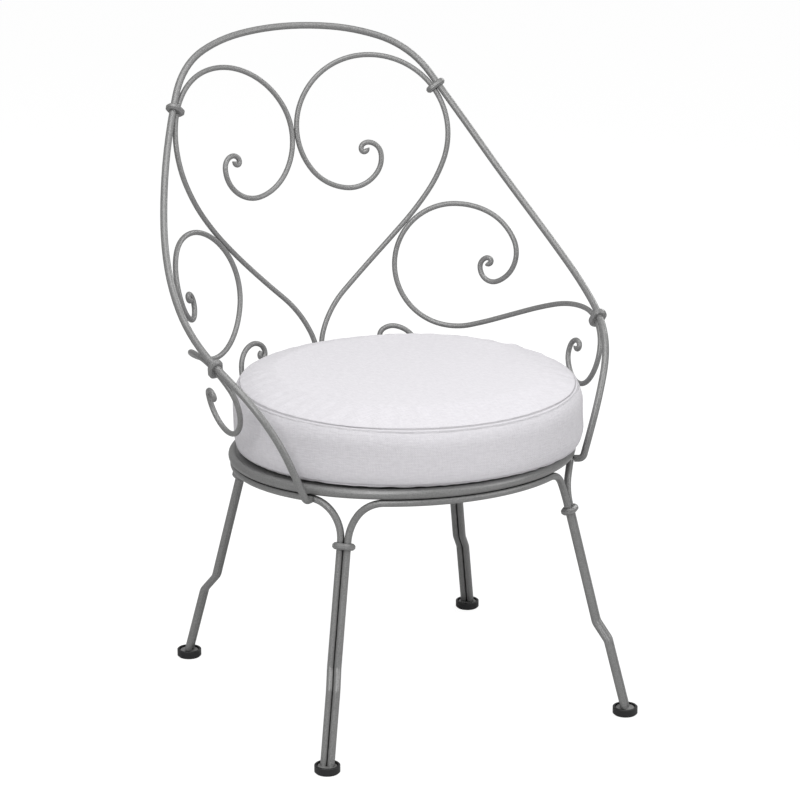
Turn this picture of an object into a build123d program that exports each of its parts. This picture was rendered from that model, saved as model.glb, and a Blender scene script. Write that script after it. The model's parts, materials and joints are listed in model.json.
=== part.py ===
# Round iron garden armchair with scrolled back and loose box cushion.
# Lengths are in mm, +Z is up, the front of the chair faces -Y and its left side is -X.
import os
from math import atan2, ceil, cos, hypot, radians, sin, sqrt, tan
from build123d import *

os.makedirs("parts", exist_ok=True)

# Bar sizes
ring_bar_r = 7.5
main_bar_r = 5.25
scroll_bar_r = 4.0
weld_gap = 0.15
loose_gap = 0.3
overrun = 20.0

# Seat
seat_r = 249.5
seat_h = 374.5
seat_lean = 2.8
pan_t = 2.0
pan_below_top = 1.0
drain_r = 9.0
drain_circle_share = 0.52
drain_count = 5

# Back surface: a cone that opens upward, drawn in to the seat ring at its foot
back_gap = 12.4
back_lean = 14.4
draw_in = 8.35
draw_in_h = 90.0

# Legs: angles at the seat and at the feet, then steps outward and heights from the seat down
front_leg_spread = 45.0
back_leg_spread = 46.0
foot_spread = 46.0
collar_out = 9.0
kink_top_out = 43.5
kink_low_out = 20.0
foot_out = 28.0
kink_low_h = 113.5
kink_rise = 24.0
collar_below_seat = 68.0
shoulder_rise = 6.5
shoulder_run = 56.0
kink_bend_r = 16.0

# Feet
plate_r = 15.0
plate_t = 6.0
plate_edge = 1.5
glide_r = 18.5
glide_h = 12.0
glide_floor = 4.0
glide_edge = 2.0
rim_edge = 0.8

# Collars: a thick band with chamfered edges around two bars
collar_t = 6.2
collar_tall = 9.2
collar_edge = 2.6
collar_gap = 0.2

# Back laid out flat: its height, and the size that the shares of its outlines refer to
back_h = 583.5
layout_share = 0.1713796
piece_share = 1.6
piece_turn = 118.0
straight_share = 1e-6
half_turn = 180.0

# Arm and back rail, laid out flat from its middle top: length share and turn of each arc
rail_size_share = 1.01
rail_steps_shares = (
    (0.80, -10.0),
    (0.73, -13.4),
    (1.00, -37.0),
    (1.40, 0.0),
    (3.21, 12.5),
    (0.34, 0.0),
    (0.54, -9.0),
    (0.92, -33.0),
    (0.45, -11.0),
    (0.46, -3.0),
)
rail_stub_bend_r = 8.0

# Heart scroll, laid out flat from the middle of its stem
heart_size_share = 1.209
heart_stem_x_share = 1.0237
heart_stem_y_share = 2.163
heart_stem_heading = 41.3
heart_up_shares = (
    (0.44, 0.0),
    (0.63, 8.0),
    (0.45, 14.0),
    (0.95, 54.0),
    (1.12, 63.0),
    (1.07, 63.0),
    (0.91, 62.0),
    (0.57, 50.0),
    (0.41, 54.0),
    (0.27, 46.0),
    (0.22, 75.0),
    (0.091, 50.0),
    (0.07, 60.0),
    (0.118, 180.0),
)
heart_down_shares = (
    (0.277, 0.0),
    (0.54, 7.0),
    (0.38, 19.5),
    (0.31, 26.5),
    (0.039, 0.0),
    (0.85, 71.0),
    (0.66, 60.0),
    (0.53, 60.0),
    (0.37, 60.0),
    (0.20, 60.0),
    (0.091, 50.0),
    (0.07, 60.0),
    (0.118, 180.0),
)

# Side scroll, laid out flat from the middle of its stem
side_size_share = 1.0
side_stem_x_share = 2.9049
side_stem_y_share = 0.9634
side_stem_heading = 187.3
side_up_shares = (
    (0.36, 0.0),
    (0.55, -26.0),
    (1.86, -111.0),
    (0.90, -56.0),
    (0.78, -37.0),
    (0.44, -27.0),
    (0.80, -100.0),
    (0.50, -130.0),
    (0.09, -45.0),
    (0.084, -60.0),
    (0.142, -180.0),
)
side_down_shares = (
    (0.33, 0.0),
    (0.76, -8.0),
    (0.60, -14.0),
    (0.40, -31.5),
    (0.28, -3.0),
    (0.24, -21.0),
    (0.27, -35.0),
    (0.52, -60.0),
    (0.41, -45.0),
    (0.35, -50.0),
    (0.07, 0.0),
    (0.26, -50.0),
    (0.22, -90.0),
    (0.084, -60.0),
    (0.142, -180.0),
)

# Cushion
cushion_over_seat = 5.5
cushion_base_in = 4.0
cushion_base_h = 6.0
cushion_side_h = 88.0
cushion_bulge = 3.0
shoulder_in = 15.0
shoulder_up = 19.0
shoulder_round = 5.5
cushion_crown = 26.0
cushion_ahead = 6.0
base_arc_share = 0.5
base_round_share = 0.15

layout_size = back_h * layout_share
rail_size = layout_size * rail_size_share
heart_size = layout_size * heart_size_share
heart_stem_x = layout_size * heart_stem_x_share + scroll_bar_r + weld_gap
heart_stem_y = layout_size * heart_stem_y_share
side_size = layout_size * side_size_share
side_stem_x = layout_size * side_stem_x_share
side_stem_y = layout_size * side_stem_y_share
piece_length = layout_size * piece_share
back_base_r = seat_r + ring_bar_r + back_gap
cone_sin = sin(radians(back_lean))
cone_cos = cos(radians(back_lean))
apex_run = back_base_r / cone_sin
collar_r = seat_r + collar_out
kink_top_r = collar_r + kink_top_out
kink_low_r = kink_top_r + kink_low_out
foot_r = kink_low_r + foot_out
kink_top_h = kink_low_h + kink_rise
collar_h = seat_h - collar_below_seat
shoulder_h = collar_h + shoulder_rise
cushion_r = seat_r + cushion_over_seat
cushion_base_r = cushion_r - cushion_base_in
front_reach = foot_r * sin(radians(foot_spread)) + glide_r
back_reach = (apex_run + back_h) * cone_sin + main_bar_r
seat_y = (front_reach - back_reach) / 2
seat_plane = Plane(
    origin=(0, seat_y, seat_h),
    x_dir=(1, 0, 0),
    z_dir=(0, sin(radians(seat_lean)), cos(radians(seat_lean))),
)
plate_top = glide_floor + weld_gap + plate_t
arch_drop = ring_bar_r + main_bar_r + weld_gap
pair_step = main_bar_r + weld_gap / 2
leg_angles = {
    "front_left": radians(front_leg_spread - half_turn),
    "front_right": radians(-front_leg_spread),
    "back_right": radians(back_leg_spread),
    "back_left": radians(half_turn - back_leg_spread),
}
foot_twists = {
    "front_left": radians(foot_spread - front_leg_spread),
    "front_right": radians(front_leg_spread - foot_spread),
    "back_right": radians(foot_spread - back_leg_spread),
    "back_left": radians(back_leg_spread - foot_spread),
}


def walk(x, y, heading, size, steps):
    """Flat points with headings along arcs given as length share and turn.

    An arc that is long or turns far is split, and short ones in a row share a piece.
    """
    stops = [(x, y, heading)]
    since_run = 0.0
    since_turn = 0.0
    for length_share, turn in steps:
        length = length_share * size
        full_run = since_run + length > piece_length
        if since_run > 0 and (full_run or abs(since_turn + turn) > piece_turn):
            stops.append((x, y, heading))
            since_run = 0.0
            since_turn = 0.0
        count = max(1, round(length / piece_length), ceil(abs(turn) / piece_turn))
        for piece in range(count):
            run = length / count
            bend = radians(turn) / count
            middle = radians(heading) + bend / 2
            chord = run if bend == 0 else run * sin(bend / 2) / (bend / 2)
            x += chord * cos(middle)
            y += chord * sin(middle)
            heading += turn / count
            if piece < count - 1:
                stops.append((x, y, heading))
        since_run += length / count
        since_turn += turn / count
    stops.append((x, y, heading))
    return stops


def on_back(x, y, heading, pull):
    """Point and direction on the back surface for a flat point and heading."""
    run = hypot(x, y + apex_run)
    swing = atan2(x, y + apex_run)
    angle = swing / cone_sin
    along_x = cos(radians(heading))
    along_y = sin(radians(heading))
    run_rate = (x * along_x + (y + apex_run) * along_y) / run
    angle_rate = ((y + apex_run) * along_x - x * along_y) / (run * run * cone_sin)
    rise = run * cone_cos - apex_run * cone_cos
    low_share = max(0.0, 1 - rise / draw_in_h)
    radius = run * cone_sin - pull * low_share**2
    radius_rate = run_rate * cone_sin
    radius_rate += 2 * pull * low_share * run_rate * cone_cos / draw_in_h
    outward = Vector(sin(angle), cos(angle), 0)
    sideways = Vector(cos(angle), -sin(angle), 0)
    point = outward * radius + Vector(0, seat_y, seat_h + rise)
    course = outward * radius_rate + sideways * (radius * angle_rate)
    course += Vector(0, 0, run_rate * cone_cos)
    return point, course.normalized()


def arc_pair(start, start_way, end, end_way):
    """Two arcs that leave and arrive along the given directions."""
    span = end - start
    both = start_way + end_way
    spread = 2 * (1 - start_way.dot(end_way))
    reach = span.dot(both)
    if spread < straight_share**2:
        arm = span.dot(span) / (2 * reach)
    else:
        arm = (sqrt(reach * reach + spread * span.dot(span)) - reach) / spread
    joint = (start + end) * 0.5 + (start_way - end_way) * (arm / 2)
    chord = (joint - start).normalized()
    joint_way = chord * (2 * chord.dot(start_way)) - start_way
    return [bar_edge(start, start_way, joint), bar_edge(joint, joint_way.normalized(), end)]


def bar_edge(start, way, end):
    """A line where the way points straight at the end, else an arc."""
    if (end - start).normalized().cross(way).length < straight_share:
        return Edge.make_line(start, end)
    return Edge.make_tangent_arc(start, way, end)


def smooth_run(stops):
    """Edges through points that each carry a direction."""
    edges = []
    for (start, start_way), (end, end_way) in zip(stops, stops[1:]):
        edges.extend(arc_pair(start, start_way, end, end_way))
    return edges


def bent_run(points, radius):
    """Edges through corner points with the corners rounded."""
    edges = []
    start = points[0]
    for before, corner, after in zip(points, points[1:], points[2:]):
        way_in = (corner - before).normalized()
        way_out = (after - corner).normalized()
        setback = radius * tan(radians(way_in.get_angle(way_out)) / 2)
        first = corner - way_in * setback
        last = corner + way_out * setback
        edges.append(Edge.make_line(start, first))
        edges.append(Edge.make_tangent_arc(first, way_in, last))
        start = last
    edges.append(Edge.make_line(start, points[-1]))
    return edges


def mirrored(stops):
    """The same stops on the other side of the chair, in reverse order."""
    other = []
    for point, way in reversed(stops):
        other.append((Vector(-point.X, point.Y, point.Z), Vector(way.X, -way.Y, -way.Z)))
    return other


def scroll_stops(x, y, heading, size, up, down, pull):
    """Stops of an S scroll from its upper curl, through its stem, to its lower curl."""
    upper = walk(x, y, heading, size, up)
    lower = walk(x, y, heading + half_turn, size, down)
    flat = [(px, py, h + half_turn) for px, py, h in reversed(upper)] + lower[1:]
    return [on_back(px, py, h, pull) for px, py, h in flat]


def stub_end(point, way):
    """Where the rail turns in below the seat ring, and where its stub ends."""
    level = seat_plane.to_local_coords(point).Z + arch_drop
    corner = point + way * (level / abs(way.Z))
    local = seat_plane.to_local_coords(corner)
    reach_share = (seat_r + main_bar_r + weld_gap) / hypot(local.X, local.Y)
    tip = Vector(local.X * reach_share, local.Y * reach_share, local.Z)
    return corner, seat_plane.from_local_coords(tip)


def leg_point(leg, radius, height, side, twist=0.0):
    """Point on one bar of the pair that makes a leg."""
    angle = leg_angles[leg]
    out = Vector(cos(angle + twist), sin(angle + twist), 0)
    across = Vector(-sin(angle), cos(angle), 0)
    return out * radius + across * (side * pair_step) + Vector(0, seat_y, height)


def leg_corners(leg, side):
    """Corner points of a leg bar from the foot up to its shoulder."""
    slope = (kink_top_r - collar_r) / (collar_h - kink_top_h)
    shoulder_r = collar_r - slope * (shoulder_h - collar_h)
    splay = (foot_r - kink_low_r) / (kink_low_h - plate_top)
    end_r = foot_r + splay * plate_t
    twist = foot_twists[leg]
    return [
        leg_point(leg, end_r, plate_top - plate_t, side, twist),
        leg_point(leg, kink_low_r, kink_low_h, side, twist),
        leg_point(leg, kink_top_r, kink_top_h, side),
        leg_point(leg, shoulder_r, shoulder_h, side),
    ]


def arch_point(angle):
    """Point and direction on the circle below the seat ring."""
    local = Vector(seat_r * cos(angle), seat_r * sin(angle), -arch_drop)
    ahead = Vector(-sin(angle), cos(angle), 0)
    point = seat_plane.from_local_coords(local)
    way = seat_plane.from_local_coords(ahead) - seat_plane.from_local_coords(Vector(0, 0, 0))
    return point, way.normalized()


def leg_bar_edges(first_leg, second_leg):
    """Edges of one bar: up a leg, along under the seat ring and down the next leg."""
    reach = shoulder_run / seat_r
    rise = leg_corners(first_leg, 1)
    fall = leg_corners(second_leg, -1)
    start_arch, start_way = arch_point(leg_angles[first_leg] + reach)
    end_arch, end_way = arch_point(leg_angles[second_leg] - reach)
    up_way = (rise[-1] - rise[-2]).normalized()
    down_way = (fall[-2] - fall[-1]).normalized()
    edges = bent_run(rise, kink_bend_r)
    edges += arc_pair(rise[-1], up_way, start_arch, start_way)
    edges.append(Edge.make_tangent_arc(start_arch, start_way, end_arch))
    edges += arc_pair(end_arch, end_way, fall[-1], down_way)
    edges += bent_run(list(reversed(fall)), kink_bend_r)
    return edges


rail_flat = walk(0, back_h, 0, rail_size, rail_steps_shares)
rail_half = [on_back(px, py, h, 0) for px, py, h in rail_flat]
rail_corner, rail_tip = stub_end(*rail_half[-1])
rail_end_run = bent_run([rail_half[-1][0], rail_corner, rail_tip], rail_stub_bend_r)
other_half = mirrored(rail_half)
other_corner = Vector(-rail_corner.X, rail_corner.Y, rail_corner.Z)
other_tip = Vector(-rail_tip.X, rail_tip.Y, rail_tip.Z)
other_end_run = bent_run([other_tip, other_corner, other_half[0][0]], rail_stub_bend_r)

heart_right = scroll_stops(
    heart_stem_x,
    heart_stem_y,
    heart_stem_heading,
    heart_size,
    heart_up_shares,
    heart_down_shares,
    draw_in,
)
side_right = scroll_stops(
    side_stem_x,
    side_stem_y,
    side_stem_heading,
    side_size,
    side_up_shares,
    side_down_shares,
    0,
)

# Seat ring
with BuildPart() as seat_ring:
    with BuildSketch(Plane.XZ):
        with Locations((seat_r, 0)):
            Circle(ring_bar_r)
    revolve(axis=Axis.Z)
seat_ring_body = seat_plane * seat_ring.part
seat_ring_body.label = "seat_ring"
export_step(seat_ring_body, "parts/seat_ring.step")

# Seat pan: a sheet inside the ring with drain holes
with BuildPart() as seat_pan:
    with BuildSketch(Plane.XY.offset(ring_bar_r - pan_below_top - pan_t)):
        Circle(seat_r)
        with PolarLocations(seat_r * drain_circle_share, drain_count):
            Circle(drain_r, mode=Mode.SUBTRACT)
    extrude(amount=pan_t)
    add(seat_ring.part, mode=Mode.SUBTRACT)
pan_inner = min(seat_pan.part.solids(), key=lambda solid: solid.bounding_box().size.X)
seat_pan_body = seat_plane * Part(pan_inner.wrapped)
seat_pan_body.label = "seat_pan"
export_step(seat_pan_body, "parts/seat_pan.step")

# Arm and back rail: one bar from the left stub over the back to the right stub
with BuildPart() as back_rail:
    with BuildLine() as rail_path:
        add(other_end_run)
        add(smooth_run(other_half))
        add(smooth_run(rail_half))
        add(rail_end_run)
    with BuildSketch(Plane(origin=other_tip, z_dir=other_corner - other_tip)):
        Circle(main_bar_r)
    sweep(path=rail_path.wires()[0])
back_rail.part.label = "back_rail"
export_step(back_rail.part, "parts/back_rail.step")

# Heart scrolls
with BuildPart() as heart_scroll_right:
    with BuildLine() as heart_right_path:
        add(smooth_run(heart_right))
    with BuildSketch(Plane(origin=heart_right[0][0], z_dir=heart_right[0][1])):
        Circle(scroll_bar_r)
    sweep(path=heart_right_path.wires()[0])
heart_scroll_right.part.label = "heart_scroll_right"
export_step(heart_scroll_right.part, "parts/heart_scroll_right.step")

with BuildPart() as heart_scroll_left:
    add(heart_scroll_right.part.mirror(Plane.YZ))
heart_scroll_left.part.label = "heart_scroll_left"
export_step(heart_scroll_left.part, "parts/heart_scroll_left.step")

# Side scrolls
with BuildPart() as side_scroll_right:
    with BuildLine() as side_right_path:
        add(smooth_run(side_right))
    with BuildSketch(Plane(origin=side_right[0][0], z_dir=side_right[0][1])):
        Circle(scroll_bar_r)
    sweep(path=side_right_path.wires()[0])
side_scroll_right.part.label = "side_scroll_right"
export_step(side_scroll_right.part, "parts/side_scroll_right.step")

with BuildPart() as side_scroll_left:
    add(side_scroll_right.part.mirror(Plane.YZ))
side_scroll_left.part.label = "side_scroll_left"
export_step(side_scroll_left.part, "parts/side_scroll_left.step")

# Leg bars
for name, first_leg, second_leg in (
    ("front", "front_left", "front_right"),
    ("right", "front_right", "back_right"),
    ("back", "back_right", "back_left"),
    ("left", "back_left", "front_left"),
):
    with BuildPart() as leg_bar:
        with BuildLine() as leg_path:
            add(leg_bar_edges(first_leg, second_leg))
        foot_start = leg_corners(first_leg, 1)
        with BuildSketch(Plane(origin=foot_start[0], z_dir=foot_start[1] - foot_start[0])):
            Circle(main_bar_r)
        sweep(path=leg_path.wires()[0])
        with Locations((0, 0, plate_top)):
            Box(
                2 * (foot_r + overrun),
                2 * (foot_r + overrun),
                2 * plate_t + overrun,
                align=(Align.CENTER, Align.CENTER, Align.MAX),
                mode=Mode.SUBTRACT,
            )
    leg_bar.part.label = "leg_bar_" + name
    export_step(leg_bar.part, "parts/leg_bar_" + name + ".step")


def band(plane, spacing, second_bar_r):
    """Collar around two bars, the main one on the plane's -X side."""
    with BuildPart() as collar:
        with BuildSketch(plane):
            SlotCenterToCenter(spacing, 2 * (main_bar_r + collar_t))
        extrude(amount=collar_tall / 2, both=True)
        chamfer(collar.faces().filter_by(plane).edges(), collar_edge)
        with BuildSketch(plane):
            with Locations((-spacing / 2, 0)):
                Circle(main_bar_r + collar_gap)
            with Locations((spacing / 2, 0)):
                Circle(second_bar_r + collar_gap)
        extrude(amount=collar_tall, both=True, mode=Mode.SUBTRACT)
    return collar.part


def nearest_way(wire, point):
    """Direction of the bar at the point of its centre line nearest to the given one."""
    edge = min(wire.edges(), key=lambda piece: piece.distance_to(point))
    return edge.tangent_at(edge.param_at_point(point))


# Leg collars
for name in leg_angles:
    low, high = leg_corners(name, 0)[2:4]
    first = leg_point(name, collar_r, collar_h, -1)
    second = leg_point(name, collar_r, collar_h, 1)
    place = Plane(origin=(first + second) * 0.5, x_dir=second - first, z_dir=high - low)
    leg_collar = band(place, (second - first).length, main_bar_r)
    leg_collar.label = "leg_collar_" + name
    export_step(leg_collar, "parts/leg_collar_" + name + ".step")

# Collars that tie the scrolls to the rail
for name, scroll_path in (
    ("back_collar", heart_right_path),
    ("arm_collar", side_right_path),
):
    rail_wire = rail_path.wires()[0]
    on_rail, on_scroll = rail_wire.closest_points(scroll_path.wires()[0])
    way = nearest_way(rail_wire, on_rail)
    place = Plane(origin=(on_rail + on_scroll) * 0.5, x_dir=on_scroll - on_rail, z_dir=way)
    tie_collar = band(place, (on_scroll - on_rail).length, scroll_bar_r)
    tie_collar.label = name + "_right"
    export_step(tie_collar, "parts/" + name + "_right.step")
    tie_collar_left = tie_collar.mirror(Plane.YZ)
    tie_collar_left.label = name + "_left"
    export_step(tie_collar_left, "parts/" + name + "_left.step")

# Foot plates and glides
for name in leg_angles:
    foot_place = leg_point(name, foot_r, 0, 0, foot_twists[name])
    with BuildPart() as foot_plate:
        with Locations(foot_place):
            with Locations((0, 0, plate_top)):
                Cylinder(plate_r, plate_t, align=(Align.CENTER, Align.CENTER, Align.MAX))
        chamfer(foot_plate.edges().group_by(Axis.Z)[-1], plate_edge)
    foot_plate.part.label = "foot_plate_" + name
    export_step(foot_plate.part, "parts/foot_plate_" + name + ".step")
    with BuildPart() as glide:
        with Locations(foot_place):
            Cylinder(glide_r, glide_h, align=(Align.CENTER, Align.CENTER, Align.MIN))
        chamfer(glide.edges().group_by(Axis.Z)[0], glide_edge)
        chamfer(glide.edges().group_by(Axis.Z)[-1], rim_edge)
        with Locations(foot_place):
            with Locations((0, 0, glide_floor)):
                Cylinder(
                    plate_r + weld_gap,
                    glide_h,
                    align=(Align.CENTER, Align.CENTER, Align.MIN),
                    mode=Mode.SUBTRACT,
                )
    glide.part.label = "glide_" + name
    export_step(glide.part, "parts/glide_" + name + ".step")

# Cushion: flat base, bulging side wall between two seams, rounded shoulder and crown
seam_top = Vector(cushion_r, cushion_side_h)
seam_base = Vector(cushion_r, cushion_base_h)
shoulder = Vector(cushion_r - shoulder_in, cushion_side_h + shoulder_up)
crown_h = cushion_side_h + cushion_crown
crown_rise = crown_h - shoulder.Y
crown_r = (shoulder.X**2 + crown_rise**2) / (2 * crown_rise)
crown_half = atan2(shoulder.X, crown_r - crown_rise) / 2
with BuildPart() as cushion:
    with BuildSketch(Plane.XZ):
        with BuildLine():
            Line((0, 0), (cushion_base_r, 0))
            ThreePointArc(
                (cushion_base_r, 0),
                seam_base + (Vector(cushion_base_r, 0) - seam_base) * base_arc_share
                + Vector(cushion_base_h, 0) * base_round_share,
                seam_base,
            )
            ThreePointArc(
                seam_base,
                (cushion_r + cushion_bulge, (cushion_side_h + cushion_base_h) / 2),
                seam_top,
            )
            ThreePointArc(
                seam_top,
                (seam_top + shoulder) * 0.5 + Vector(shoulder_round, shoulder_round) / 2,
                shoulder,
            )
            ThreePointArc(
                shoulder,
                (crown_r * sin(crown_half), crown_h - crown_r * (1 - cos(crown_half))),
                (0, crown_h),
            )
            Line((0, crown_h), (0, 0))
        make_face()
    revolve(axis=Axis.Z)
cushion_place = seat_plane * Location((0, -cushion_ahead, ring_bar_r + loose_gap))
cushion_body = cushion_place * cushion.part
cushion_body.label = "cushion"
export_step(cushion_body, "parts/cushion.step")
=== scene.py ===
# Looks of the round garden armchair: powder-coated bars, black glides, a woven box cushion.
# Lengths are in metres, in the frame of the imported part.
import json
import math

import bpy
from mathutils import Matrix, Vector, noise


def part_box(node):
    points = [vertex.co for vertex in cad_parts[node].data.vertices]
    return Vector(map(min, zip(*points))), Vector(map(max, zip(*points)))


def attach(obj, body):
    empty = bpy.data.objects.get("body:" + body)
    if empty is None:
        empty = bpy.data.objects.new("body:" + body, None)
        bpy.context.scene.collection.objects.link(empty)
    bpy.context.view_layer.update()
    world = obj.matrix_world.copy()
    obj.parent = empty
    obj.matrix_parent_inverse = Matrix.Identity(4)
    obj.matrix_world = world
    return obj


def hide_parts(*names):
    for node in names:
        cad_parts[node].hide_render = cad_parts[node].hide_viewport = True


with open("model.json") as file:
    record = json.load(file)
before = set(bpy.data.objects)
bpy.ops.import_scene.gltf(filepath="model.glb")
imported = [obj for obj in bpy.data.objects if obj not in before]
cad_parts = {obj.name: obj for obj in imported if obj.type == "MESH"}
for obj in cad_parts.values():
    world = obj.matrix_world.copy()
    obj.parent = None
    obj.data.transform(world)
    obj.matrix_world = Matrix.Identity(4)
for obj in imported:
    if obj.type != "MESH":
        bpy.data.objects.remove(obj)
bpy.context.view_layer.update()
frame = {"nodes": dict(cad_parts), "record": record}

# Seat
SEAT_LEAN = math.radians(2.8)
RING_TO_CUSHION = 0.0078
CUSHION_AHEAD = 0.006
CUSHION_ASIDE = 0.008

# Cushion, measured from the middle of its underside; it is a little thicker at its back
WALL_R = 0.2575
TOP_SEAM_R = 0.2485
BASE_SEAM_R = 0.253
BASE_SEAM_H = 0.005
TOP_SEAM_H = 0.097
BACK_RISE = 0.012
SHOULDER_RISE = 0.011
CROWN_RISE = 0.005
TOP_SHOULDER_SHARE = 0.9
BASE_SHOULDER_SHARE = 0.984
RIM_GATHER = 1.25
CELLS = 80
SIDE_SHARES = (
    0.0, 0.022, 0.07, 0.13, 0.21, 0.3, 0.4, 0.5,
    0.6, 0.7, 0.78, 0.86, 0.93, 0.983, 1.0,
)
TOP_ROUND_SHARE = 0.3
BASE_ROUND_SHARE = 0.22
SWELL_CAP = 0.004
SWELL_PRESSURE = 4.0
SWELL_FRAMES = 20
SEAM_DEPTH = 0.0022
SEAM_LINE = 0.0011
SEAM_FADE = 0.0026
PUCKER_DEPTH = 0.0075
PUCKER_REACH = 0.034
PUCKER_LENGTH = 0.015
PUCKER_SIDE = math.radians(24)
PUCKER_LEAST_SHARE = 0.06
PUCKER_FOCUS = 3
DENT_DEPTH = 0.0016
DENT_LENGTH = 0.13
DENT_START = (3.1, 7.7, 1.3)
CORD_R = 0.0006
CORD_SIDES = 8
THREAD = 0.0026

# Camera and light
CAMERA_AT = (-1.958, -4.0087, 1.7655)
CAMERA_AIM = (0.0, -0.0679, 0.447)
LENS = 140.04
SENSOR = 36.0
FLOOR_HALF = 14.0
FLOOR_GLOW_SHARE = 0.8
FLOOR_GLOW = 1.12
WORLD_LIGHT = 0.42
TOP_LAMP = dict(at=(-0.3, -0.5, 2.9), size=2.6, power=39.0)
KEY_LAMP = dict(at=(-2.4, -2.4, 2.6), size=1.6, power=50.0)
FILL_LAMP = dict(at=(2.2, -2.6, 2.0), size=1.8, power=32.0)
RIM_LAMP = dict(at=(2.4, 1.2, 1.9), size=1.4, power=18.0)

# Painted shade between bars that touch
CREVICE_REACH = 0.006
CREVICE_SAMPLES = 8
CREVICE_DEEP = 0.3
CREVICE_OPEN = 0.6
CREVICE_FADE = 0.002

# Textures: noise scales per metre, ranges of the noise in use, and what they become
GRAIN_DETAIL = 3.0
GRAIN_RANGE = (0.3, 0.7)
COAT_GRAIN = 620.0
COAT_CLOUD = 14.0
COAT_GRAIN_SHARE = 0.8
COAT_RANGE = (0.38, 0.62)
COAT_ROUGHNESS = (0.3, 0.46)
COAT_BUMP = 0.0004
COAT_METALLIC = 0.35
PLASTIC_GRAIN = 600.0
PLASTIC_ROUGHNESS = (0.4, 0.6)
PLASTIC_BUMP = 0.0002
STREAK_LONG = 90.0
STREAK_SHORT = 420.0
STREAK_DETAIL = 2.0
CLOTH_CLOUD = 9.0
CLOTH_LEVEL_RANGE = (0.5, 0.7)
CLOTH_RANGE = (0.36, 0.64)
CLOTH_ROUGHNESS = (0.82, 0.95)
CLOTH_BUMP = 0.0002
CLOTH_SHEEN = 0.15
WEFT_SHARE = 0.6
YARN_SHARE = 0.2
THREADS_SHARE = 0.65
CLOUD_SHARE = 0.15
WEAVE_RISE_SHARE = 0.6
THREADS_RISE_SHARE = 4.0

# Places of the colour sockets of a Mix node
MIX_FACTOR = 0
MIX_FIRST = 6
MIX_LAST = 7
MIX_RESULT = 2

# Linear colours
COAT = (0.275, 0.275, 0.273)
COAT_DARK = (0.2, 0.2, 0.199)
# painted shade between paired bars below the seat ring
COAT_PAINTED_SHADE = (0.012, 0.012, 0.012)
PLASTIC = (0.012, 0.012, 0.013)
PLASTIC_DARK = (0.007, 0.007, 0.008)
CLOTH = (0.715, 0.7, 0.73)
CLOTH_DARK = (0.6, 0.586, 0.615)
# painted shadow along the crease of the top seam
SEAM_SHADOW = (0.5, 0.488, 0.51)
WHITE = (1.0, 1.0, 1.0)
BOUNCE = (0.6, 0.6, 0.6)


def rgba(colour):
    return (*colour, 1.0)


class Nodes:
    """A material's node tree with short ways to add and join nodes."""

    def __init__(self, tree):
        self.tree = tree
        tree.nodes.clear()

    def add(self, kind, **values):
        node = self.tree.nodes.new(kind)
        for name, value in values.items():
            if name in node.inputs:
                node.inputs[name].default_value = value
            else:
                setattr(node, name, value)
        return node

    def join(self, source, target):
        self.tree.links.new(source, target)

    def math(self, operation, first, second=None):
        node = self.tree.nodes.new("ShaderNodeMath")
        node.operation = operation
        for socket, value in zip(node.inputs, (first, second)):
            if value is None:
                continue
            if isinstance(value, (int, float)):
                socket.default_value = value
            else:
                self.join(value, socket)
        return node.outputs[0]

    def noise(self, place, scale, detail):
        node = self.add("ShaderNodeTexNoise", Scale=scale, Detail=detail)
        self.join(place, node.inputs["Vector"])
        return node.outputs["Fac"]

    def ramp(self, factor, low, high, first, last):
        node = self.tree.nodes.new("ShaderNodeMapRange")
        values = {"From Min": low, "From Max": high, "To Min": first, "To Max": last}
        for name, value in values.items():
            node.inputs[name].default_value = value
        self.join(factor, node.inputs["Value"])
        return node.outputs["Result"]

    def blend(self, factor, first, last):
        """A value that goes from the first to the last with the factor."""
        change = self.math("MULTIPLY", self.math("SUBTRACT", last, first), factor)
        return self.math("ADD", first, change)

    def tint(self, factor, first, last):
        node = self.tree.nodes.new("ShaderNodeMix")
        node.data_type = "RGBA"
        for place, colour in ((MIX_FIRST, first), (MIX_LAST, last)):
            socket = node.inputs[place]
            if isinstance(colour, tuple):
                socket.default_value = rgba(colour)
            else:
                self.join(colour, socket)
        self.join(factor, node.inputs[MIX_FACTOR])
        return node.outputs[MIX_RESULT]

    def surface(self, colour, roughness, height, depth):
        """Principled surface with a bump of the given depth."""
        bump = self.add("ShaderNodeBump", Strength=1.0, Distance=depth)
        self.join(height, bump.inputs["Height"])
        shader = self.tree.nodes.new("ShaderNodeBsdfPrincipled")
        self.join(colour, shader.inputs["Base Color"])
        self.join(roughness, shader.inputs["Roughness"])
        self.join(bump.outputs["Normal"], shader.inputs["Normal"])
        output = self.tree.nodes.new("ShaderNodeOutputMaterial")
        self.join(shader.outputs["BSDF"], output.inputs["Surface"])
        return shader


def new_material(name):
    material = bpy.data.materials.new(name)
    material.use_nodes = True
    return material, Nodes(material.node_tree)


def painted_crevice_shade(nodes, place):
    """Painted shade: 1 deep between paired bars below the seat ring, 0 in the open and above it.
    """
    low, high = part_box("seat_ring")
    middle = (low + high) / 2
    split = nodes.add("ShaderNodeSeparateXYZ")
    nodes.join(place, split.inputs[0])
    behind = nodes.math("SUBTRACT", split.outputs["Y"], middle.y)
    raised = nodes.math("SUBTRACT", split.outputs["Z"], middle.z)
    above = nodes.math("ADD", raised, nodes.math("MULTIPLY", behind, math.tan(SEAT_LEAN)))
    under_seat = nodes.ramp(above, -CREVICE_FADE, 0.0, 1.0, 0.0)
    shade = nodes.add(
        "ShaderNodeAmbientOcclusion", Distance=CREVICE_REACH, samples=CREVICE_SAMPLES
    )
    depth = nodes.ramp(shade.outputs["AO"], CREVICE_DEEP, CREVICE_OPEN, 1.0, 0.0)
    return nodes.math("MULTIPLY", under_seat, depth)


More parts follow.
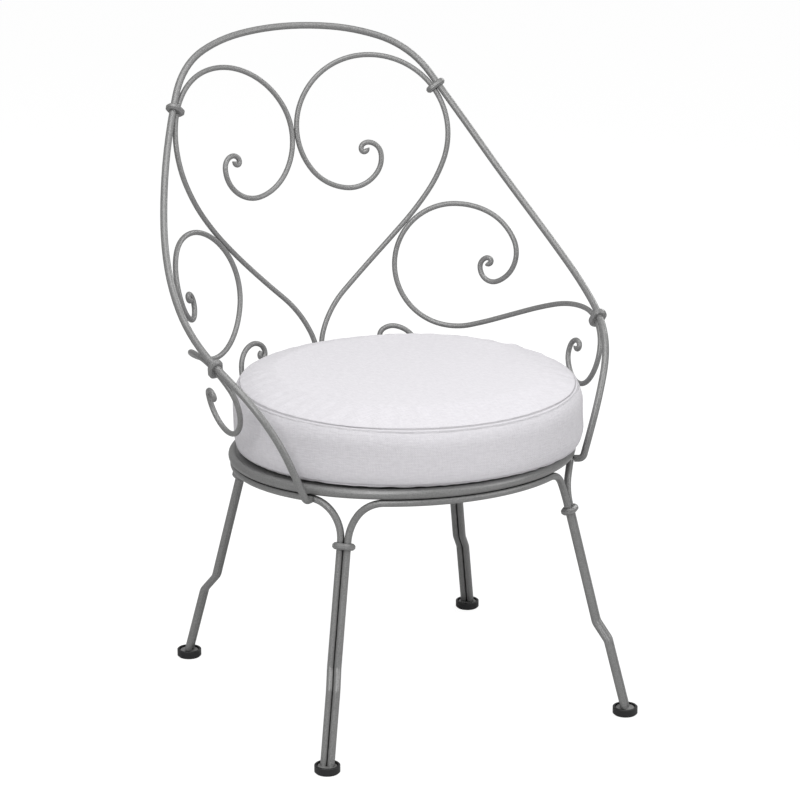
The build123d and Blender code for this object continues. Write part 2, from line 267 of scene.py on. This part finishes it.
def powder_coat():
    """Fine-textured grey paint with a slight sparkle, and painted shade between paired bars below
    the seat ring.
    """
    material, nodes = new_material("powder_coat_look")
    place = nodes.add("ShaderNodeTexCoord").outputs["Object"]
    grain = nodes.noise(place, COAT_GRAIN, GRAIN_DETAIL)
    cloud = nodes.noise(place, COAT_CLOUD, GRAIN_DETAIL)
    fine = nodes.math("MULTIPLY", grain, COAT_GRAIN_SHARE)
    blend = nodes.math("ADD", fine, nodes.math("MULTIPLY", cloud, 1 - COAT_GRAIN_SHARE))
    colour = nodes.tint(nodes.ramp(blend, *COAT_RANGE, 0.0, 1.0), COAT_DARK, COAT)
    # painted shade: near-black colour in the crevices between paired bars below the seat ring
    colour = nodes.tint(painted_crevice_shade(nodes, place), colour, COAT_PAINTED_SHADE)
    roughness = nodes.ramp(grain, *GRAIN_RANGE, *COAT_ROUGHNESS)
    shader = nodes.surface(colour, roughness, grain, COAT_BUMP)
    shader.inputs["Metallic"].default_value = COAT_METALLIC
    return material


def black_plastic():
    """Matt moulded plastic of the glides."""
    material, nodes = new_material("glide_plastic_look")
    place = nodes.add("ShaderNodeTexCoord").outputs["Object"]
    grain = nodes.noise(place, PLASTIC_GRAIN, GRAIN_DETAIL)
    colour = nodes.tint(grain, PLASTIC_DARK, PLASTIC)
    roughness = nodes.ramp(grain, *GRAIN_RANGE, *PLASTIC_ROUGHNESS)
    nodes.surface(colour, roughness, grain, PLASTIC_BUMP)
    return material


def weave_height(nodes, across, along):
    """Plain weave: threads that pass over and under each other along two directions."""
    turn = 2 * math.pi / THREAD
    first = nodes.math("SINE", nodes.math("MULTIPLY", across, turn))
    second = nodes.math("SINE", nodes.math("MULTIPLY", along, turn))
    return nodes.math("MULTIPLY", first, second)


def streaks(nodes, across, along, across_scale, along_scale):
    """Uneven threads that run along one of the two directions."""
    place = nodes.add("ShaderNodeCombineXYZ")
    nodes.join(nodes.math("MULTIPLY", across, across_scale), place.inputs[0])
    nodes.join(nodes.math("MULTIPLY", along, along_scale), place.inputs[1])
    return nodes.noise(place.outputs[0], 1.0, STREAK_DETAIL)


def distance(nodes, first, second):
    """Length of a step whose two parts are at right angles."""
    squares = [nodes.math("MULTIPLY", part, part) for part in (first, second)]
    return nodes.math("SQRT", nodes.math("ADD", *squares))


def seam_shadow_mask(nodes, x, y, z):
    """0 in the crease of the top seam, where its shadow is painted, 1 away from it."""
    radius = distance(nodes, x, y)
    slope = nodes.math("MULTIPLY", y, BACK_RISE / WALL_R)
    sunk = SEAM_DEPTH * math.sqrt(0.5)
    aside = nodes.math("SUBTRACT", radius, TOP_SEAM_R - sunk)
    above = nodes.math("SUBTRACT", z, nodes.math("ADD", slope, TOP_SEAM_H - sunk))
    return nodes.ramp(distance(nodes, aside, above), SEAM_LINE, SEAM_FADE, 0.0, 1.0)


def woven_cloth():
    """Pale grey woven cloth, its threads straight on the top and round the side, with a painted
    shadow in the crease of the top seam.
    """
    material, nodes = new_material("cushion_fabric_look")
    coordinate = nodes.add("ShaderNodeTexCoord")
    place = coordinate.outputs["Object"]
    split = nodes.add("ShaderNodeSeparateXYZ")
    nodes.join(place, split.inputs[0])
    facing = nodes.add("ShaderNodeSeparateXYZ")
    nodes.join(coordinate.outputs["Normal"], facing.inputs[0])
    x, y, z = split.outputs
    around = nodes.math("MULTIPLY", nodes.math("ARCTAN2", x, y), WALL_R)
    upright = nodes.math("ABSOLUTE", facing.outputs["Z"])
    level = nodes.ramp(upright, *CLOTH_LEVEL_RANGE, 0.0, 1.0)
    across = nodes.blend(level, around, x)
    along = nodes.blend(level, z, y)
    weave = weave_height(nodes, across, along)
    weft = streaks(nodes, across, along, STREAK_LONG, STREAK_SHORT)
    warp = streaks(nodes, across, along, STREAK_SHORT, STREAK_LONG)
    cloud = nodes.noise(place, CLOTH_CLOUD, STREAK_DETAIL)
    weft_part = nodes.math("MULTIPLY", weft, WEFT_SHARE)
    threads = nodes.math("ADD", weft_part, nodes.math("MULTIPLY", warp, 1 - WEFT_SHARE))
    yarn = nodes.math("MULTIPLY", nodes.ramp(weave, -1.0, 1.0, 0.0, 1.0), YARN_SHARE)
    streaked = nodes.ramp(threads, *CLOTH_RANGE, 0.0, THREADS_SHARE)
    uneven = nodes.math("ADD", streaked, nodes.math("MULTIPLY", cloud, CLOUD_SHARE))
    cloth = nodes.tint(nodes.math("ADD", yarn, uneven), CLOTH_DARK, CLOTH)
    # painted shadow: a darker line along the crease of the top seam
    colour = nodes.tint(seam_shadow_mask(nodes, x, y, z), SEAM_SHADOW, cloth)
    weave_rise = nodes.math("MULTIPLY", weave, WEAVE_RISE_SHARE)
    threads_rise = nodes.math("MULTIPLY", threads, THREADS_RISE_SHARE)
    height = nodes.math("ADD", weave_rise, threads_rise)
    roughness = nodes.ramp(threads, *GRAIN_RANGE, *CLOTH_ROUGHNESS)
    shader = nodes.surface(colour, roughness, height, CLOTH_BUMP)
    shader.inputs["Sheen Weight"].default_value = CLOTH_SHEEN
    return material


def dress_frame(looks):
    """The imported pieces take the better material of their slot."""
    slots = {entry["node"]: entry["material_slot"] for entry in frame["record"]["subparts"]}
    for node, piece in frame["nodes"].items():
        for holder in piece.material_slots:
            holder.material = looks[slots[node]]


def round_cell(u, v):
    """Point of a unit disc for a point of the square from -1 to 1."""
    return u * math.sqrt(1 - v * v / 2), v * math.sqrt(1 - u * u / 2)


def panel_height(share, shoulder_share, rim, shoulder, middle):
    """Height of a round panel that climbs quickly at its rim and crowns slowly inside."""
    if share > shoulder_share:
        inner = (1 - share) / (1 - shoulder_share)
        return rim + (shoulder - rim) * math.sin(inner * math.pi / 2)
    return shoulder + (middle - shoulder) * (1 - (share / shoulder_share) ** 2)


def add_panel(points, faces, seam_r, shoulder_share, heights, upward):
    """A round panel from a square grid, finer at its rim; returns its rim points in order."""
    first = len(points)
    row = CELLS + 1
    for j in range(row):
        for i in range(row):
            x, y = round_cell(2 * i / CELLS - 1, 2 * j / CELLS - 1)
            even = min(1.0, math.hypot(x, y))
            share = 1 - (1 - even) ** RIM_GATHER
            spread = seam_r * share / even if even > 0 else 0.0
            points.append((x * spread, y * spread, panel_height(share, shoulder_share, *heights)))
    for j in range(CELLS):
        for i in range(CELLS):
            corner = first + j * row + i
            face = (corner, corner + 1, corner + row + 1, corner + row)
            faces.append(face if upward else face[::-1])
    low = [first + i for i in range(CELLS)]
    right = [first + i * row + CELLS for i in range(CELLS)]
    high = [first + CELLS * row + CELLS - i for i in range(CELLS)]
    left = [first + (CELLS - i) * row for i in range(CELLS)]
    return low + right + high + left


def wall_radius(share):
    """Radius of the side band, drawn in to its two seams."""
    top_part = max(0.0, 1 - (1 - share) / TOP_ROUND_SHARE)
    base_part = max(0.0, 1 - share / BASE_ROUND_SHARE)
    drawn_in = (WALL_R - TOP_SEAM_R) * top_part**2
    drawn_in_below = (WALL_R - BASE_SEAM_R) * base_part**2
    return WALL_R - drawn_in - drawn_in_below


def cushion_mesh():
    """Closed shell of two round panels and a side band, with the two seam loops."""
    points = []
    faces = []
    shoulder_h = TOP_SEAM_H + SHOULDER_RISE
    top_heights = (TOP_SEAM_H, shoulder_h, shoulder_h + CROWN_RISE)
    base_heights = (BASE_SEAM_H, 0.0, 0.0)
    top_rim = add_panel(points, faces, TOP_SEAM_R, TOP_SHOULDER_SHARE, top_heights, True)
    base_rim = add_panel(points, faces, BASE_SEAM_R, BASE_SHOULDER_SHARE, base_heights, False)
    count = len(base_rim)
    rows = [base_rim]
    for share in SIDE_SHARES[1:-1]:
        out = wall_radius(share) / BASE_SEAM_R
        ring = []
        for index in base_rim:
            x, y, z = points[index]
            ring.append(len(points))
            points.append((x * out, y * out, z + (TOP_SEAM_H - BASE_SEAM_H) * share))
        rows.append(ring)
    rows.append(top_rim)
    for lower, upper in zip(rows, rows[1:]):
        for i in range(count):
            after = (i + 1) % count
            faces.append((lower[i], lower[after], upper[after], upper[i]))
    lifted = []
    for x, y, z in points:
        lifted.append((x, y, z + BACK_RISE * y / WALL_R * min(1.0, z / TOP_SEAM_H)))
    mesh = bpy.data.meshes.new("cushion_cover")
    mesh.from_pydata(lifted, [], faces)
    return mesh, top_rim, base_rim


def swell(piece, held):
    """Blows the cover up like a stuffed cushion, its seams held in place."""
    start = [vertex.co.copy() for vertex in piece.data.vertices]
    group = piece.vertex_groups.new(name="seams")
    group.add(held, 1.0, "REPLACE")
    modifier = piece.modifiers.new("swell", "CLOTH")
    settings = modifier.settings
    settings.vertex_group_mass = "seams"
    settings.use_pressure = True
    settings.uniform_pressure_force = SWELL_PRESSURE
    settings.effector_weights.gravity = 0.0
    modifier.collision_settings.use_collision = False
    for step in range(1, SWELL_FRAMES + 1):
        bpy.context.scene.frame_set(step)
    blown = piece.evaluated_get(bpy.context.evaluated_depsgraph_get())
    moved = [vertex.co.copy() for vertex in blown.data.vertices]
    piece.modifiers.remove(modifier)
    bpy.context.scene.frame_set(1)
    for vertex, before, after in zip(piece.data.vertices, start, moved):
        shift = after - before
        if shift.length > SWELL_CAP:
            shift = shift.normalized() * SWELL_CAP
        vertex.co = before + shift


def top_seam_height(point):
    """Height of the top seam above or below a point."""
    return TOP_SEAM_H + BACK_RISE * point.y / WALL_R


def seam_reach(point):
    """1 on a seam, fading to 0 away from it."""
    radius = math.hypot(point.x, point.y)
    gap = min(
        math.hypot(radius - TOP_SEAM_R, point.z - top_seam_height(point)),
        math.hypot(radius - BASE_SEAM_R, point.z - BASE_SEAM_H),
    )
    return max(0.0, 1 - gap / PUCKER_REACH)


def settle(piece):
    """Dents of the filling, puckers by the seams, most at the back right, a flat underside."""
    for vertex in piece.data.vertices:
        point = vertex.co
        outward = Vector((point.x, point.y, 0.0)).normalized()
        angle = math.atan2(point.y, point.x)
        dent = noise.noise(point / DENT_LENGTH + Vector(DENT_START)) * DENT_DEPTH
        around = angle * TOP_SEAM_R / PUCKER_LENGTH
        facing = max(0.0, math.cos(angle - PUCKER_SIDE)) ** PUCKER_FOCUS
        pull = PUCKER_LEAST_SHARE + (1 - PUCKER_LEAST_SHARE) * facing
        pucker = noise.noise(Vector((around, 0.0, point.z / DENT_LENGTH))) * PUCKER_DEPTH * pull
        near = seam_reach(point)
        lift = Vector((0.0, 0.0, 1.0)) if point.z > top_seam_height(point) else outward
        point += lift * (dent * (1 - near) + pucker * math.sin(near * math.pi))
        point.z = max(point.z, 0.0)
        vertex.co = point


def draw_seam(piece, loop, way_down):
    """Pulls a seam into the filling and keeps it sharp."""
    for index in loop:
        point = piece.data.vertices[index].co
        inward = -Vector((point.x, point.y, 0.0)).normalized()
        point += (inward + Vector((0.0, 0.0, way_down))).normalized() * SEAM_DEPTH
    crease = piece.data.attributes.get("crease_edge")
    if crease is None:
        crease = piece.data.attributes.new("crease_edge", "FLOAT", "EDGE")
    on_seam = set(loop)
    for edge in piece.data.edges:
        if edge.vertices[0] in on_seam and edge.vertices[1] in on_seam:
            crease.data[edge.index].value = 1.0


def seam_cord(name, loop):
    """Thin sewing cord that lies in a seam, along a closed loop of points."""
    count = len(loop)
    points = []
    faces = []
    for i in range(count):
        ahead = (loop[(i + 1) % count] - loop[i - 1]).normalized()
        outward = Vector((loop[i].x, loop[i].y, 0.0)).normalized()
        up = outward.cross(ahead).normalized()
        for side in range(CORD_SIDES):
            turn = 2 * math.pi * side / CORD_SIDES
            aside = outward * (CORD_R * math.cos(turn))
            points.append(loop[i] + aside + up * (CORD_R * math.sin(turn)))
    for i in range(count):
        for side in range(CORD_SIDES):
            next_side = (side + 1) % CORD_SIDES
            here = i * CORD_SIDES
            there = (i + 1) % count * CORD_SIDES
            faces.append((here + side, here + next_side, there + next_side, there + side))
    mesh = bpy.data.meshes.new(name)
    mesh.from_pydata(points, [], faces)
    return add_piece(name, mesh)


def add_piece(name, mesh):
    piece = bpy.data.objects.new(name, mesh)
    bpy.context.scene.collection.objects.link(piece)
    mesh.polygons.foreach_set("use_smooth", [True] * len(mesh.polygons))
    mesh.update()
    return piece


def seat_place():
    """Where the middle of the cushion's underside lies, and how it leans."""
    low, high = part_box("seat_ring")
    lean = Matrix.Rotation(-SEAT_LEAN, 4, "X")
    shift = Matrix.Translation((CUSHION_ASIDE, -CUSHION_AHEAD, RING_TO_CUSHION))
    return Matrix.Translation((low + high) / 2) @ lean @ shift


def make_cushion(cloth):
    mesh, top_rim, base_rim = cushion_mesh()
    cover = add_piece("cushion_cover", mesh)
    swell(cover, top_rim + base_rim)
    settle(cover)
    draw_seam(cover, top_rim, -1.0)
    draw_seam(cover, base_rim, 1.0)
    top_loop = [cover.data.vertices[i].co.copy() for i in top_rim]
    base_loop = [cover.data.vertices[i].co.copy() for i in base_rim]
    smooth = cover.modifiers.new("finer", "SUBSURF")
    smooth.levels = 1
    smooth.render_levels = 1
    cords = [seam_cord("cushion_seam_top", top_loop), seam_cord("cushion_seam_base", base_loop)]
    for piece in (cover, *cords):
        piece.data.materials.append(cloth)
        piece.matrix_world = seat_place()
        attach(piece, "loose_cushion")
    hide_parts("cushion")


def lamp(name, at, size, power):
    data = bpy.data.lights.new(name, "AREA")
    data.shape = "DISK"
    data.size = size
    data.energy = power
    light = bpy.data.objects.new(name, data)
    light.location = at
    light.rotation_euler = (Vector(CAMERA_AIM) - Vector(at)).to_track_quat("-Z", "Y").to_euler()
    bpy.context.scene.collection.objects.link(light)


def floor_material():
    """White to the camera with soft shadows, a dimmer white to the light it throws back."""
    material, nodes = new_material("floor_white")
    rays = nodes.add("ShaderNodeLightPath").outputs["Is Camera Ray"]
    diffuse = nodes.add("ShaderNodeBsdfDiffuse")
    nodes.join(nodes.tint(rays, BOUNCE, WHITE), diffuse.inputs["Color"])
    glow = nodes.add("ShaderNodeEmission", Color=rgba(WHITE), Strength=FLOOR_GLOW)
    share = nodes.math("MULTIPLY", rays, FLOOR_GLOW_SHARE)
    mix = nodes.add("ShaderNodeMixShader")
    nodes.join(share, mix.inputs[0])
    nodes.join(diffuse.outputs[0], mix.inputs[1])
    nodes.join(glow.outputs[0], mix.inputs[2])
    output = nodes.add("ShaderNodeOutputMaterial")
    nodes.join(mix.outputs[0], output.inputs["Surface"])
    return material


def make_stage():
    mesh = bpy.data.meshes.new("floor")
    half = FLOOR_HALF
    corners = [(-half, -half, 0), (half, -half, 0), (half, half, 0), (-half, half, 0)]
    mesh.from_pydata(corners, [], [(0, 1, 2, 3)])
    floor = add_piece("floor", mesh)
    floor.data.materials.append(floor_material())
    world = bpy.data.worlds.new("studio")
    world.use_nodes = True
    bpy.context.scene.world = world
    nodes = Nodes(world.node_tree)
    rays = nodes.add("ShaderNodeLightPath").outputs["Is Camera Ray"]
    back = nodes.add("ShaderNodeBackground", Color=rgba(WHITE))
    nodes.join(nodes.ramp(rays, 0.0, 1.0, WORLD_LIGHT, 1.0), back.inputs["Strength"])
    output = nodes.add("ShaderNodeOutputWorld")
    nodes.join(back.outputs[0], output.inputs["Surface"])
    lamp("top_lamp", **TOP_LAMP)
    lamp("key_lamp", **KEY_LAMP)
    lamp("fill_lamp", **FILL_LAMP)
    lamp("rim_lamp", **RIM_LAMP)


def make_camera():
    data = bpy.data.cameras.new("camera")
    data.lens = LENS
    data.sensor_width = SENSOR
    camera = bpy.data.objects.new("camera", data)
    camera.location = CAMERA_AT
    aim = Vector(CAMERA_AIM) - Vector(CAMERA_AT)
    camera.rotation_euler = aim.to_track_quat("-Z", "Y").to_euler()
    bpy.context.scene.collection.objects.link(camera)
    bpy.context.scene.camera = camera


looks = {
    "powder_coat": powder_coat(),
    "glide_plastic": black_plastic(),
    "cushion_fabric": woven_cloth(),
}
dress_frame(looks)
make_cushion(looks["cushion_fabric"])
make_stage()
make_camera()
bpy.context.scene.view_settings.view_transform = "Standard"
